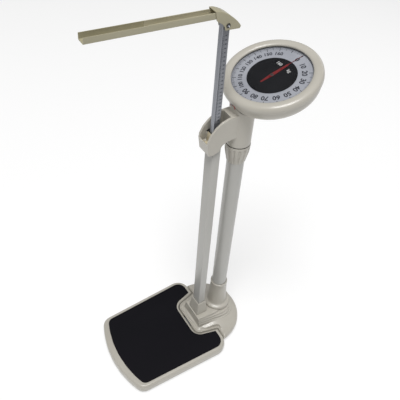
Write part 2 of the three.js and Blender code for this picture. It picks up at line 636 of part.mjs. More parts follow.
// anchor plate over the spring, with one leg that follows the floor of the case
function springAnchor() {
  const shelf = box(-32, -1, COLUMN_Y - 6, COLUMN_Y + 6, 938, 941);
  const leg = box(-32, -29, COLUMN_Y - 6, COLUMN_Y + 6, 905, 940);
  const room = turned([[0, -46.1], [95.4, -46.1], [104.8, -42.3], [111.6, -34.7], [115.4, -23],
    [115.4, 20], [0, 20]], 56);
  return common(join(shelf, leg), room.applyMatrix4(headMatrix()));
}
put('spring_anchor', springAnchor(), zinc);

// ---- height rod ----
const RIVET_HOLE = 3.3;
const rodTube = cut(rectPipe(ROD.width, ROD.depth, ROD.wall, ROD.bottom, ROD.top, TUBE_Y),
  rodAlongX(RIVET_HOLE, -20, 20, PIVOT.y, PIVOT.z, 14));
put('height_rod', rodTube, aluminium);

const capWidth = ROD.width / 2 - ROD.wall - GAP;
const capDepth = ROD.depth / 2 - ROD.wall - GAP;
const rodCap = cut(join(
  box(-capWidth, capWidth, PIVOT.y - capDepth, PIVOT.y + capDepth, PIVOT.z - 12, ROD.top + 0.6),
  box(-ROD.width / 2, ROD.width / 2, PIVOT.y - 8.4, PIVOT.y + 8.4, ROD.top + GAP, ROD.top + 1.4)),
rodAlongX(RIVET_HOLE, -20, 20, PIVOT.y, PIVOT.z, 14));
put('rod_cap', rodCap, black);

// hood: a pressed cap with two cheeks, open below and in front
const HOOD_HALF = 13;
const HOOD_WALL = 1.4;
function hood() {
  const top = [[8, 1144], [-6, 1159.5], [-24, 1174], [-40, 1183], [-52, 1187], [-58, 1187.6]];
  const bottom = [[-54, 1167], [-38.5, 1156], [-33, 1149], [-31, 1141.5], [5, 1138.5]];
  const outer = plate([...top, ...bottom], -HOOD_HALF, HOOD_HALF);
  const under = [[9, 1138], [6.8, 1143], [-6.8, 1158.2], [-24.6, 1172.6], [-40.3, 1181.6],
    [-52.3, 1185.5], [-70, 1186.4]];
  const room = plate([...under, [-70, 1130], [9, 1130]], -HOOD_HALF + HOOD_WALL, HOOD_HALF - HOOD_WALL);
  return cut(outer, room, rodAlongX(RIVET_HOLE, -20, 20, PIVOT.y, PIVOT.z, 14));
}
put('hood', hood(), olive);

function channel(halfWidth, floor, top, wall, y0, y1) {
  const body = cut(box(-halfWidth, halfWidth, y0, y1, floor, top),
    box(-halfWidth + wall, halfWidth - wall, y0 - 1, y1 + 1, floor + wall, top + 1));
  return body.translate(0, -ARM.root, 0).rotateX(-ARM.rise).translate(0, ARM.root, ARM.bottom);
}
put('head_arm', channel(ARM.halfWidth, 0, ARM.height, ARM.wall, ARM.tip, ARM.root), olive);
const LINER_END = -206;
put('arm_liner', channel(ARM.halfWidth - ARM.wall - GAP, ARM.wall + GAP, ARM.height + 0.6, 1.2,
  LINER_END, ARM.root - 1), olive);

put('arm_rivet', join(rodAlongX(3, -14, 14, PIVOT.y, PIVOT.z, 16),
  rodAlongX(4.6, HOOD_HALF + GAP, 15, PIVOT.y, PIVOT.z, 16),
  rodAlongX(4.6, -15, -HOOD_HALF - GAP, PIVOT.y, PIVOT.z, 16)), steel);
for (const [side, sign] of [['left', -1], ['right', 1]]) {
  const inner = ROD.width / 2 + GAP;
  const outer = HOOD_HALF - HOOD_WALL - GAP;
  const [x0, x1] = sign < 0 ? [-outer, -inner] : [inner, outer];
  put(`arm_washer_${side}`, cut(rodAlongX(4.2, x0, x1, PIVOT.y, PIVOT.z, 16),
    rodAlongX(RIVET_HOLE, -20, 20, PIVOT.y, PIVOT.z, 14)), black);
}

// centre the whole scale between the front of the platform and the rear of the dial
const rearMost = DIAL.y + DIAL.bezelRadius * Math.cos(DIAL.tilt) + 13 * Math.sin(DIAL.tilt);
scale.position.y = (PLATFORM_LENGTH + FRONT_BOW - rearMost) / 2;

export default root;
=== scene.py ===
# A column weighing scale with a round dial head, a lever platform and a sliding height rod.
# Every length below is in millimetres and every y is taken from the rear edge of the platform,
# as in the CAD source; at() turns such a point into the frame's metres.
import math
import bmesh
import bpy
from mathutils import Matrix, Vector, kdtree


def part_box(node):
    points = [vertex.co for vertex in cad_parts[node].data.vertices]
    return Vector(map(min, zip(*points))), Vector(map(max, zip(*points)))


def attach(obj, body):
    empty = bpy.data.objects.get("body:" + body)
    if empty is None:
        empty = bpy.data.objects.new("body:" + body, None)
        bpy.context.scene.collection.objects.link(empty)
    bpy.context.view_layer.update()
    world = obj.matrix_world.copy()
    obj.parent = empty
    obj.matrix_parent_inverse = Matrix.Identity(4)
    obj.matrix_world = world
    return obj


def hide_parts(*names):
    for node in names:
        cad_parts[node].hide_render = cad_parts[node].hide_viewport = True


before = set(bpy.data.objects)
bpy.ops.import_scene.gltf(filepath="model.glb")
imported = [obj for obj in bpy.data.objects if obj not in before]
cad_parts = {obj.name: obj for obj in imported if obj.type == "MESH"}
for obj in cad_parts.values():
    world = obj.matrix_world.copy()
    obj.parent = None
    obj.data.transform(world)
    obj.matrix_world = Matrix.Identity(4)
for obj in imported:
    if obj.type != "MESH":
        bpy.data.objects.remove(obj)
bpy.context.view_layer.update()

# ---------------------------------------------------------------------------------------------
# Studio. A pale seamless floor, a white room, one large soft key light high on the right, a
# weaker fill from the left and a low rim behind. The camera stands high at the right front.
bpy.ops.object.select_all(action="DESELECT")
COLUMN_Y = 53.2
column_low, column_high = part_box("column")
EDGE_Y = (column_low.y + column_high.y) / 2 - COLUMN_Y / 1000


def at(x, y, z):
    """A point in millimetres from the platform's rear edge, in the frame's metres."""
    return Vector((x / 1000, y / 1000 + EDGE_Y, z / 1000))


def plain_material(name, colour, roughness=0.5, metallic=0.0):
    """A Principled material; returns it with its node tree and its shader."""
    material = bpy.data.materials.new(name)
    material.use_nodes = True
    shader = material.node_tree.nodes["Principled BSDF"]
    shader.inputs["Base Color"].default_value = (*colour, 1)
    shader.inputs["Roughness"].default_value = roughness
    shader.inputs["Metallic"].default_value = metallic
    material.diffuse_color = (*colour, 1)
    return material, material.node_tree, shader


def soft_light(name, size, power, place, aim):
    """A square area light at a place, turned towards the point that it lights."""
    data = bpy.data.lights.new(name, "AREA")
    data.energy, data.size = power, size
    lamp = bpy.data.objects.new(name, data)
    bpy.context.scene.collection.objects.link(lamp)
    lamp.location = place
    lamp.rotation_mode = "QUATERNION"
    lamp.rotation_quaternion = (Vector(aim) - Vector(place)).to_track_quat("-Z", "Y")


bpy.ops.mesh.primitive_plane_add(size=30, location=(0, 0, -0.0006))
floor = bpy.context.object
floor.name = "studio_floor"
pale, _, pale_shader = plain_material("pale floor", (0.5, 0.5, 0.5), 0.9)
pale_shader.inputs["Emission Color"].default_value = (1, 1, 1, 1)
pale_shader.inputs["Emission Strength"].default_value = 0.52
floor.data.materials.append(pale)

bpy.context.scene.view_settings.view_transform = "Standard"
world = bpy.data.worlds.new("white room")
bpy.context.scene.world = world
world.use_nodes = True
world.node_tree.nodes["Background"].inputs["Color"].default_value = (1, 1, 1, 1)
world.node_tree.nodes["Background"].inputs["Strength"].default_value = 0.28
soft_light("key", 2.6, 300, (1.2, -0.9, 6.2), (0, 0, 0.5))
soft_light("fill", 2.4, 4, (-2.4, -1.6, 1.6), (0, 0, 0.5))
soft_light("rim", 1.4, 6, (-0.6, 2.6, 1.8), (0, 0, 0.7))

EYE = (798.1, -619.6, 1660.7)
EYE_YAW, EYE_PITCH, EYE_ROLL = math.radians(54.4), math.radians(45.9), math.radians(-4.6)
ahead = Vector((-math.sin(EYE_YAW) * math.cos(EYE_PITCH), math.cos(EYE_YAW) * math.cos(EYE_PITCH),
                -math.sin(EYE_PITCH)))
level = Vector((math.cos(EYE_YAW), math.sin(EYE_YAW), 0))
below = ahead.cross(level)
right = level * math.cos(EYE_ROLL) + below * math.sin(EYE_ROLL)
down = below * math.cos(EYE_ROLL) - level * math.sin(EYE_ROLL)
camera_data = bpy.data.cameras.new("camera")
camera_data.sensor_width, camera_data.lens = 36, 46.66
camera_data.shift_x, camera_data.shift_y = -0.0035, -0.0055
camera = bpy.data.objects.new("camera", camera_data)
bpy.context.scene.collection.objects.link(camera)
camera.matrix_world = Matrix.Translation(at(*EYE)) @ Matrix((right, -down, -ahead)).transposed().to_4x4()
bpy.context.scene.camera = camera

# ---------------------------------------------------------------------------------------------
# Rear casting. One moulded cream cover: a half-round lobe behind the platform, a tongue that
# fills the platform's notch, and the stepped plinth for both uprights. The tongue has a raised
# bead along its edge. It is screwed down on the base pan.
TONGUE = [(-105, 7.3, 0), (-83.7, 7.3, 3), (-64.7, -68.7, 22.7), (64.7, -68.7, 22.7), (83.7, 7.3, 3),
          (105, 7.3, 0), (0, 90, 0)]
TONGUE_TOP = 36
BEAD_RADIUS, BEAD_INSET, BEAD_HEIGHT = 2.2, 3.4, 34.8
COVE_INSET, COVE_WIDTH, COVE_DEPTH = 10.5, 4.2, 3.6
SPOTS_PER_STRETCH = 60


def enamel(name, dark, light, patch=7.0, stretch=(1, 1, 1), rough=(0.3, 0.42), grain=900.0,
           relief=0.06, metallic=0.0, coat=0.0, shine=0.5):
    """A coated or moulded surface: two close tones in soft patches, uneven gloss, fine relief."""
    material, tree, shader = plain_material(name, light, rough[0], metallic)
    shader.inputs["Coat Weight"].default_value = coat
    shader.inputs["Coat Roughness"].default_value = 0.12
    shader.inputs["Specular IOR Level"].default_value = shine
    place = tree.nodes.new("ShaderNodeTexCoord")
    mapping = tree.nodes.new("ShaderNodeMapping")
    mapping.inputs["Scale"].default_value = stretch
    tree.links.new(place.outputs["Object"], mapping.inputs["Vector"])
    patches = tree.nodes.new("ShaderNodeTexNoise")
    patches.inputs["Scale"].default_value = patch
    patches.inputs["Detail"].default_value = 5
    tones = tree.nodes.new("ShaderNodeValToRGB")
    tones.color_ramp.elements[0].position, tones.color_ramp.elements[1].position = 0.3, 0.7
    tones.color_ramp.elements[0].color = (*dark, 1)
    tones.color_ramp.elements[1].color = (*light, 1)
    gloss = tree.nodes.new("ShaderNodeMapRange")
    gloss.inputs["From Min"].default_value, gloss.inputs["From Max"].default_value = 0.3, 0.7
    gloss.inputs["To Min"].default_value, gloss.inputs["To Max"].default_value = rough
    fine = tree.nodes.new("ShaderNodeTexNoise")
    fine.inputs["Scale"].default_value = grain
    fine.inputs["Detail"].default_value = 3
    bump = tree.nodes.new("ShaderNodeBump")
    bump.inputs["Strength"].default_value = relief
    bump.inputs["Distance"].default_value = 0.0003
    for texture in (patches, fine):
        tree.links.new(mapping.outputs["Vector"], texture.inputs["Vector"])
    tree.links.new(patches.outputs["Fac"], tones.inputs["Fac"])
    tree.links.new(tones.outputs["Color"], shader.inputs["Base Color"])
    tree.links.new(patches.outputs["Fac"], gloss.inputs["Value"])
    tree.links.new(gloss.outputs["Result"], shader.inputs["Roughness"])
    tree.links.new(fine.outputs["Fac"], bump.inputs["Height"])
    tree.links.new(bump.outputs["Normal"], shader.inputs["Normal"])
    return material


def start_piece():
    """Leaves edit mode and clears the selection, so that the next tool sees one piece only."""
    if bpy.context.mode != "OBJECT":
        bpy.ops.object.mode_set(mode="OBJECT")
    bpy.ops.object.select_all(action="DESELECT")


def modify(piece, kind, **settings):
    """Adds a modifier with these settings and applies it."""
    bpy.context.view_layer.objects.active = piece
    modifier = piece.modifiers.new(kind.lower(), kind)
    for key, value in settings.items():
        setattr(modifier, key, value)
    bpy.ops.object.modifier_apply(modifier=modifier.name)


def hand_over(piece, name, body, material, nodes=(), smooth=38):
    """Names a finished piece, gives it its material and makes it ride on its body."""
    start_piece()
    piece.select_set(True)
    bpy.context.view_layer.objects.active = piece
    bpy.ops.object.transform_apply(location=True, rotation=True, scale=True)
    bpy.ops.object.shade_smooth_by_angle(angle=math.radians(smooth))
    piece.name = piece.data.name = name
    piece.data.materials.clear()
    piece.data.materials.append(material)
    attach(piece, body)
    if nodes:
        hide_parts(*nodes)
    return piece


def rounded_outline(corners, inset=0.0, steps=7):
    """Corner list (x, y, radius), anticlockwise, moved inwards and with its corners rounded."""
    edges = []
    for (x0, y0, _), (x1, y1, _) in zip(corners, [*corners[1:], corners[0]]):
        along = Vector((x1 - x0, y1 - y0)).normalized()
        edges.append((Vector((x0, y0)) + Vector((-along.y, along.x)) * inset, along))
    points = []
    for i, (_, _, radius) in enumerate(corners):
        (p0, d0), (p1, d1) = edges[i - 1], edges[i]
        turn = d0.x * d1.y - d0.y * d1.x
        gap = p1 - p0
        corner = p1 if abs(turn) < 1e-6 else p0 + d0 * ((gap.x * d1.y - gap.y * d1.x) / turn)
        bend = math.atan2(turn, d0.dot(d1))
        side = 1 if bend > 0 else -1
        if not radius:
            points.append(corner)
            continue
        reach = max(0.8, radius - side * inset)
        begin = corner - d0 * reach * math.tan(abs(bend) / 2)
        centre = begin + Vector((-d0.y, d0.x)) * reach * side
        for k in range(steps + 1):
            arm = begin - centre
            arm.rotate(Matrix.Rotation(bend * k / steps, 2))
            points.append(centre + arm)
    return points


def lofted(rings, low_cap=True, high_cap=True):
    """A skin over rings of equal count, each (points, height): a circle pulled up ring by ring."""
    start_piece()
    rows = [[at(p[0], p[1], z) for p in points] for points, z in rings]
    bpy.ops.mesh.primitive_circle_add(vertices=len(rows[0]), radius=1)
    piece = bpy.context.object
    for corner, place in zip(piece.data.vertices, rows[0]):
        corner.co = place
    bpy.ops.object.mode_set(mode="EDIT")
    bpy.ops.mesh.select_mode(type="EDGE")
    bpy.ops.mesh.select_all(action="SELECT")
    if low_cap:
        bpy.ops.mesh.edge_face_add()
    for before, after in zip(rows, rows[1:]):
        bpy.ops.mesh.extrude_edges_move()
        mesh = bmesh.from_edit_mesh(piece.data)
        moves = {tuple(round(c, 6) for c in old): new for old, new in zip(before, after)}
        for corner in mesh.verts:
            if corner.select:
                corner.co = moves[tuple(round(c, 6) for c in corner.co)]
        bmesh.update_edit_mesh(piece.data)
    if high_cap:
        bpy.ops.mesh.edge_face_add()
    bpy.ops.mesh.select_all(action="SELECT")
    bpy.ops.mesh.normals_make_consistent(inside=False)
    bpy.ops.object.mode_set(mode="OBJECT")
    return piece


def cast_copy(node):
    """A merged copy of a CAD node; soften() then rounds its edges as a casting's are."""
    start_piece()
    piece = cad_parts[node].copy()
    piece.data = piece.data.copy()
    piece.parent = None
    for key in list(piece.keys()):
        del piece[key]
    bpy.context.scene.collection.objects.link(piece)
    piece.select_set(True)
    bpy.context.view_layer.objects.active = piece
    bpy.ops.object.mode_set(mode="EDIT")
    bpy.ops.mesh.select_all(action="SELECT")
    bpy.ops.mesh.remove_doubles(threshold=0.00001)
    bpy.ops.object.mode_set(mode="OBJECT")
    return piece


def thicken(piece, wall):
    """Turns an open sheet's faces outwards and gives it a wall on its inner side."""
    faces = piece.data.polygons
    middle = sum((f.center * f.area for f in faces), Vector()) / sum(f.area for f in faces)
    if sum((f.center - middle).dot(f.normal) * f.area for f in faces) < 0:
        piece.data.flip_normals()
    modify(piece, "SOLIDIFY", thickness=wall / 1000, offset=-1, use_even_offset=True)


def soften(piece, voxel, passes, keep, shape=None):
    """Melts a piece's shells into one skin with small round edges and fillets."""
    modify(piece, "REMESH", mode="VOXEL", voxel_size=voxel / 1000)
    if shape:
        shape(piece)
    modify(piece, "SMOOTH", factor=0.5, iterations=passes)
    modify(piece, "DECIMATE", ratio=keep)


def join_to(piece, *others):
    """Joins the other pieces into the first one, as separate shells."""
    start_piece()
    for other in (*others, piece):
        other.select_set(True)
    bpy.context.view_layer.objects.active = piece
    bpy.ops.object.join()
    return piece


def bead(points, radius):
    """A round bar along open points, as a curve with a bevel turned into a mesh."""
    start_piece()
    data = bpy.data.curves.new("bead", "CURVE")
    data.dimensions, data.bevel_depth, data.bevel_resolution = "3D", radius / 1000, 3
    data.use_fill_caps = True
    line = data.splines.new("POLY")
    line.points.add(len(points) - 1)
    for knot, place in zip(line.points, points):
        knot.co = (*place, 1)
    piece = bpy.data.objects.new("bead", data)
    bpy.context.scene.collection.objects.link(piece)
    piece.select_set(True)
    bpy.context.view_layer.objects.active = piece
    bpy.ops.object.convert(target="MESH")
    bpy.ops.object.mode_set(mode="EDIT")
    bpy.ops.mesh.select_all(action="SELECT")
    bpy.ops.mesh.remove_doubles(threshold=0.00001)
    bpy.ops.mesh.normals_make_consistent(inside=False)
    bpy.ops.object.mode_set(mode="OBJECT")
    return piece


cream = enamel("cream casing", (0.425, 0.403, 0.352), (0.47, 0.447, 0.394), coat=0.25)


def press_cove(piece):
    """Presses a shallow cove into the top, all along the tongue and fading out behind it."""
    outline = rounded_outline(TONGUE, inset=COVE_INSET, steps=10)
    path = [at(x, y, TONGUE_TOP) for x, y in outline[:-1]]
    spots = [a.lerp(b, step / SPOTS_PER_STRETCH)
             for a, b in zip(path, path[1:]) for step in range(SPOTS_PER_STRETCH)]
    track = kdtree.KDTree(len(spots))
    for index, spot in enumerate(spots):
        track.insert(spot, index)
    track.balance()
    for corner in piece.data.vertices:
        if corner.normal.z > 0.5 and abs(corner.co.z * 1000 - TONGUE_TOP) < 1.5:
            reach = track.find((corner.co.x, corner.co.y, TONGUE_TOP / 1000))[2] * 1000
            corner.co.z -= COVE_DEPTH / 1000 * math.exp(-((reach / COVE_WIDTH) ** 2))


casting = cast_copy("rear_cover")
bead_path = rounded_outline(TONGUE, inset=BEAD_INSET, steps=10)[:-1]
casting = join_to(casting, bead([at(x, y, BEAD_HEIGHT) for x, y in bead_path], BEAD_RADIUS))
soften(casting, voxel=1.25, passes=4, keep=0.5, shape=press_cove)
hand_over(casting, "rear_casting", "base", cream, ["rear_cover"])

# ---------------------------------------------------------------------------------------------
# Base pan, feet and the lever work. The pan is a pressed and painted steel floor on four
# rubber feet; the levers are zinc castings that rest on hardened knife edges.
pan_paint = enamel("pan paint", (0.26, 0.255, 0.235), (0.31, 0.305, 0.28), patch=12, rough=(0.5, 0.65))
foot_rubber = enamel("foot rubber", (0.012, 0.012, 0.014), (0.02, 0.02, 0.023), patch=30,
                     rough=(0.7, 0.85), grain=1500, relief=0.2)
ground_steel = enamel("ground steel", (0.33, 0.34, 0.36), (0.46, 0.47, 0.5), patch=60, stretch=(1, 0.2, 1),
                      rough=(0.25, 0.4), metallic=0.9, grain=2500, relief=0.1)
cast_zinc = enamel("cast zinc", (0.38, 0.38, 0.39), (0.5, 0.5, 0.51), patch=40, rough=(0.4, 0.6),
                   metallic=0.8, grain=600, relief=0.35)
cut_brass = enamel("cut brass", (0.42, 0.27, 0.09), (0.6, 0.42, 0.16), patch=50, rough=(0.25, 0.4),
                   metallic=0.9, grain=2500, relief=0.1)
black_moulding = enamel("black moulding", (0.008, 0.008, 0.008), (0.016, 0.016, 0.016), patch=40,
                        rough=(0.4, 0.6), grain=1800, relief=0.2)


def paint(material, *nodes):
    """Gives CAD nodes that are shown as they are their material."""
    for node in nodes:
        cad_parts[node].material_slots[0].material = material


paint(pan_paint, "base_pan")
paint(foot_rubber, "foot_front_left", "foot_front_right", "foot_rear_left", "foot_rear_right")
paint(ground_steel, "platform_post_front_left", "platform_post_front_right", "platform_post_rear_left",
      "platform_post_rear_right", "long_knife_bar", "short_knife_left", "short_knife_right",
      "front_bearing_left", "front_bearing_right", "rear_bearing_left", "rear_bearing_right",
      "lever_link", "draw_rod", "crank_pin", "main_spring")
paint(cast_zinc, "long_lever", "short_lever", "bell_crank", "movement_plate", "spring_anchor")
paint(cut_brass, "pinion", "rack")
paint(black_moulding, "zero_wheel", "rod_guide", "arm_washer_left", "arm_washer_right")

# ---------------------------------------------------------------------------------------------
# Platform. A moulded cream shell, bowed at the front and notched at the rear, with a rounded
# edge and a skirt that hangs over the pan. It is open underneath and 2.4 mm thick.
PLATFORM_FRONT, PLATFORM_BOW, SHELL_WALL = -324, 34, 2.4
PASSAGES = ((118, 13), (25, 30))


def platform_corners(grow, front, bow):
    """The outline of the platform, or of the mat, which is drawn in round the notch."""
    right_half = [(147, front, 34), (160, 6, 42), (85 + grow, 6, 3), (66 + grow, -70 - grow, 24)]
    left_half = [(-x, y, r) for x, y, r in reversed(right_half)]
    curve = [(147 * t, front - bow * (1 - t * t), 190) for t in (-0.66, -0.33, 0, 0.33, 0.66)]
    return [*right_half, *left_half, *curve]


def drill(piece, tool):
    """Cuts the tool out of the piece and clears the tool away."""
    modify(piece, "BOOLEAN", object=tool, operation="DIFFERENCE", solver="EXACT")
    bpy.data.objects.remove(tool)


def block(middle, sides, rounding=0.0):
    """A cuboid by its middle and its sides in millimetres, with its edges rounded if asked."""
    start_piece()
    bpy.ops.mesh.primitive_cube_add(size=1, location=Vector(middle) / 1000, scale=Vector(sides) / 1000)
    piece = bpy.context.object
    bpy.ops.object.transform_apply(location=True, scale=True)
    if rounding:
        modify(piece, "BEVEL", width=rounding / 1000, segments=4, limit_method="ANGLE")
    return piece


platform_edge = platform_corners(0, PLATFORM_FRONT, PLATFORM_BOW)
SKIRT = ((1.6, 8), (0.5, 9.5), (0, 13), (0, 27), (0.3, 30), (1.1, 32.8), (2.4, 35.2), (4.2, 37.1),
         (6.4, 38.2), (9.5, 38.5))
shell = lofted([(rounded_outline(platform_edge, inset), z) for inset, z in SKIRT], low_cap=False)
thicken(shell, SHELL_WALL)
# The skirt is cut away where the pan's bridge and the long lever pass under the notch.
for half_width, height in PASSAGES:
    drill(shell, block(at(0, -26, height - 50) * 1000, (2 * half_width, 112, 100)))
hand_over(shell, "platform_shell", "platform", cream, ["platform"])

# ---------------------------------------------------------------------------------------------
# Mat. A moulded black rubber mat glued on the platform, pebbled on top, with a soft edge.
rubber = enamel("mat rubber", (0.004, 0.004, 0.006), (0.0065, 0.006, 0.0085), patch=9, rough=(0.7, 0.85),
                shine=0.12, grain=650, relief=0.4)
mat_edge = platform_corners(-4, PLATFORM_FRONT + 5, PLATFORM_BOW - 4)
MAT = ((13.3, 38.8), (13, 39.2), (13.1, 39.7), (13.5, 40.1), (14.4, 40.3))
mat = lofted([(rounded_outline(mat_edge, inset), z) for inset, z in MAT])
hand_over(mat, "rubber_mat", "platform", rubber, ["platform_mat"])

# ---------------------------------------------------------------------------------------------
# Sockets. The tapered collar that holds the flat upright and the flared one that holds the
# round upright, both moulded with the plinth's finish and screwed to it from below.
TUBE_Y = -24.8


def oblong(half_x, half_y, radius, y=TUBE_Y):
    """A rectangle with rounded corners round the middle of the flat upright."""
    return rounded_outline([(half_x, y - half_y, radius), (half_x, y + half_y, radius),
                            (-half_x, y + half_y, radius), (-half_x, y - half_y, radius)], steps=5)


SOCKET = ((8.3, 78.3), (8.5, 79.5), (8.5, 88), (8.2, 91), (7.6, 93), (3.9, 133), (3.5, 136), (2.7, 137.6),
          (1.6, 138), (0.9, 137.6), (0.4, 136.5), (0.3, 83.8))
collar = lofted([(oblong(17.5 + m, 12.4 + m, 1.2 + m * 0.35), z) for m, z in SOCKET])
hand_over(collar, "flat_upright_socket", "base", cream, ["tube_socket"])


def spun(profile, steps=96):
    """A solid of revolution: one corner pulled along the (radius, height) profile, then spun."""
    start_piece()
    bpy.ops.mesh.primitive_plane_add(size=0.001)
    piece = bpy.context.object
    bpy.ops.object.mode_set(mode="EDIT")
    bpy.ops.mesh.select_mode(type="VERT")
    bpy.ops.mesh.merge(type="CENTER")
    corners = [Vector((r / 1000, 0, z / 1000)) for r, z in profile]
    bpy.ops.transform.translate(value=corners[0])
    for before, after in zip(corners, corners[1:]):
        bpy.ops.mesh.extrude_region_move(TRANSFORM_OT_translate={"value": after - before})
    bpy.ops.mesh.select_all(action="SELECT")
    bpy.ops.mesh.spin(steps=steps, angle=2 * math.pi, center=(0, 0, 0), axis=(0, 0, 1))
    bpy.ops.mesh.select_all(action="SELECT")
    bpy.ops.mesh.remove_doubles(threshold=0.000004)
    bpy.ops.mesh.normals_make_consistent(inside=False)
    bpy.ops.object.mode_set(mode="OBJECT")
    return piece


def ring_profile(inner, outer, low, high):
    """The closed rectangle that spun() turns into a plain tube or a flat ring."""
    return [(inner, low), (outer, low), (outer, high), (inner, high), (inner, low)]


def stand(piece, x=0.0, y=0.0, z=0.0):
    """Puts a piece that was made round the origin at a point in millimetres."""
    piece.location = at(x, y, z)
    return piece


FLARE = ((15, 69.7), (45.2, 69.7), (45.9, 70.6), (45.9, 81), (45.4, 83), (44, 84.6), (41, 86), (37.2, 87),
         (35, 88.6), (33.8, 91), (33.2, 95), (31.6, 115), (29.6, 142), (28.4, 165), (27.7, 184),
         (28.3, 185.2), (28.5, 187), (28.3, 193), (27.8, 195), (26.6, 195.9), (25, 196), (24.4, 195.4),
         (24.3, 93.8), (15, 93.8), (15, 69.7))
flare = stand(spun(FLARE), y=COLUMN_Y)
hand_over(flare, "round_upright_socket", "base", cream, ["column_socket"])

# ---------------------------------------------------------------------------------------------
# Uprights. A 35 x 25 mm flat steel tube that guides the height rod, and a 48 mm round steel
# column that hides the pull rod. Both are powder coated light grey.
powder = enamel("upright powder coat", (0.40, 0.395, 0.372), (0.46, 0.455, 0.43), patch=5,
                stretch=(3, 3, 0.5), rough=(0.28, 0.4), grain=1300, relief=0.1, coat=0.15, metallic=0.1)
flat_upright = lofted([(oblong(17.5, 12.4, 2.4), 84), (oblong(17.5, 12.4, 2.4), 861.4),
                       (oblong(17.1, 12.0, 2.2), 862)], low_cap=False, high_cap=False)
thicken(flat_upright, 1.5)
hand_over(flat_upright, "flat_upright", "base", powder, ["height_tube"])
round_upright = stand(spun(ring_profile(22, 24, 94, 848)), y=COLUMN_Y)
hand_over(round_upright, "round_upright", "base", powder, ["column"])

# ---------------------------------------------------------------------------------------------
# Collar nut under the neck. A tapered moulded nut with fourteen broad ribs for the grip and a
# plain rim at its top.
NUT_RIBS, RIB_DEPTH, RIB_FOOT, RIB_HEAD, NUT_WALL = 14, 2.6, 25.1, 799.5, 0.9
NUT_RADII = ((748, 25.6), (751.5, 26.6), (758, 27.6), (769, 30), (782, 32.6), (790, 33.4), (798.5, 33.7),
             (800.5, 33.9), (804.5, 33.9), (806.8, 33.2))
nut_low, nut_high = NUT_RADII[0][0], NUT_RADII[-1][0]
start_piece()
bpy.ops.mesh.primitive_cylinder_add(vertices=12 * NUT_RIBS, radius=0.0264,
                                    depth=(nut_high - nut_low) / 1000, end_fill_type="NOTHING",
                                    location=(0, 0, (nut_low + nut_high) / 2000))
nut = bpy.context.object
bpy.ops.object.transform_apply(location=True)
bpy.ops.object.mode_set(mode="EDIT")
for height, _ in NUT_RADII[1:-1]:
    bpy.ops.mesh.select_all(action="SELECT")
    bpy.ops.mesh.bisect(plane_co=(0, 0, height / 1000), plane_no=(0, 0, 1))
mesh = bmesh.from_edit_mesh(nut.data)
for corner in mesh.verts:
    radius = next(r for z, r in NUT_RADII if abs(corner.co.z * 1000 - z) < 0.4)
    turn = math.atan2(corner.co.y, corner.co.x)
    rib = (turn / (2 * math.pi) * NUT_RIBS) % 1
    depth = min(RIB_DEPTH, radius - RIB_FOOT) if corner.co.z * 1000 < RIB_HEAD else 0
    valley = depth * max(0.0, math.cos(2 * math.pi * rib)) ** 0.5
    reach = (radius - valley) / 1000
    corner.co.x, corner.co.y = reach * math.cos(turn), reach * math.sin(turn)
bmesh.update_edit_mesh(nut.data)
bpy.ops.object.mode_set(mode="OBJECT")
thicken(nut, NUT_WALL)
nut.location.y = at(0, COLUMN_Y, 0).y
hand_over(nut, "ribbed_collar_nut", "base", cream, ["collar_nut"], smooth=30)

# ---------------------------------------------------------------------------------------------
# Head bracket and rod catch. One cream moulding clamps both uprights: two cheeks round the
# height rod, open in front, and the neck under the dial. A beige sprung tab sits in the pocket.
bracket = cast_copy("head_bracket")
soften(bracket, voxel=0.9, passes=4, keep=0.45)
hand_over(bracket, "head_bracket_moulding", "base", cream, ["head_bracket"])

beige = enamel("beige tab", (0.42, 0.36, 0.24), (0.5, 0.44, 0.31), patch=60, rough=(0.35, 0.5), grain=1500)


def side_slab(profile, x0, x1, rounding=0.4):
    """A piece with this (y, z) side profile, as thick as from x0 to x1, with softened edges."""
    start_piece()
    bpy.ops.mesh.primitive_circle_add(vertices=len(profile), radius=1)
    piece = bpy.context.object
    for corner, (y, z) in zip(piece.data.vertices, profile):
        corner.co = at(x0, y, z)
    bpy.ops.object.mode_set(mode="EDIT")
    bpy.ops.mesh.select_all(action="SELECT")
    bpy.ops.mesh.edge_face_add()
    bpy.ops.mesh.extrude_region_move(TRANSFORM_OT_translate={"value": ((x1 - x0) / 1000, 0, 0)})
    bpy.ops.mesh.select_all(action="SELECT")
    bpy.ops.mesh.normals_make_consistent(inside=False)
    bpy.ops.object.mode_set(mode="OBJECT")
    if rounding:
        modify(piece, "BEVEL", width=rounding / 1000, segments=3, limit_method="ANGLE")
    return piece


TAB = [(-49, 838.4), (-39, 838.4), (-39, 856), (-37.4, 868), (-38.6, 868.2), (-40.6, 856.4), (-40.6, 840.4),
       (-47.6, 840.4), (-51.6, 848), (-52.6, 847.6)]
catch = side_slab(TAB, -9, 9, 0.35)
hand_over(catch, "rod_catch_tab", "base", beige, ["rod_spring_tab"])

# ---------------------------------------------------------------------------------------------
# Dial case. A shallow moulded bowl on the neck, tilted 16.7 degrees towards the person on the
# platform. A small window in its front wall shows the rim of the zero wheel.
DIAL_PLACE, DIAL_TILT = (0, 128.2, 987.8), math.radians(16.7)


def on_dial(piece):
    """Tilts a piece that was made level round the middle of the dial and puts it on the head."""
    piece.rotation_euler = (DIAL_TILT, 0, 0)
    piece.location = at(*DIAL_PLACE)
    return piece


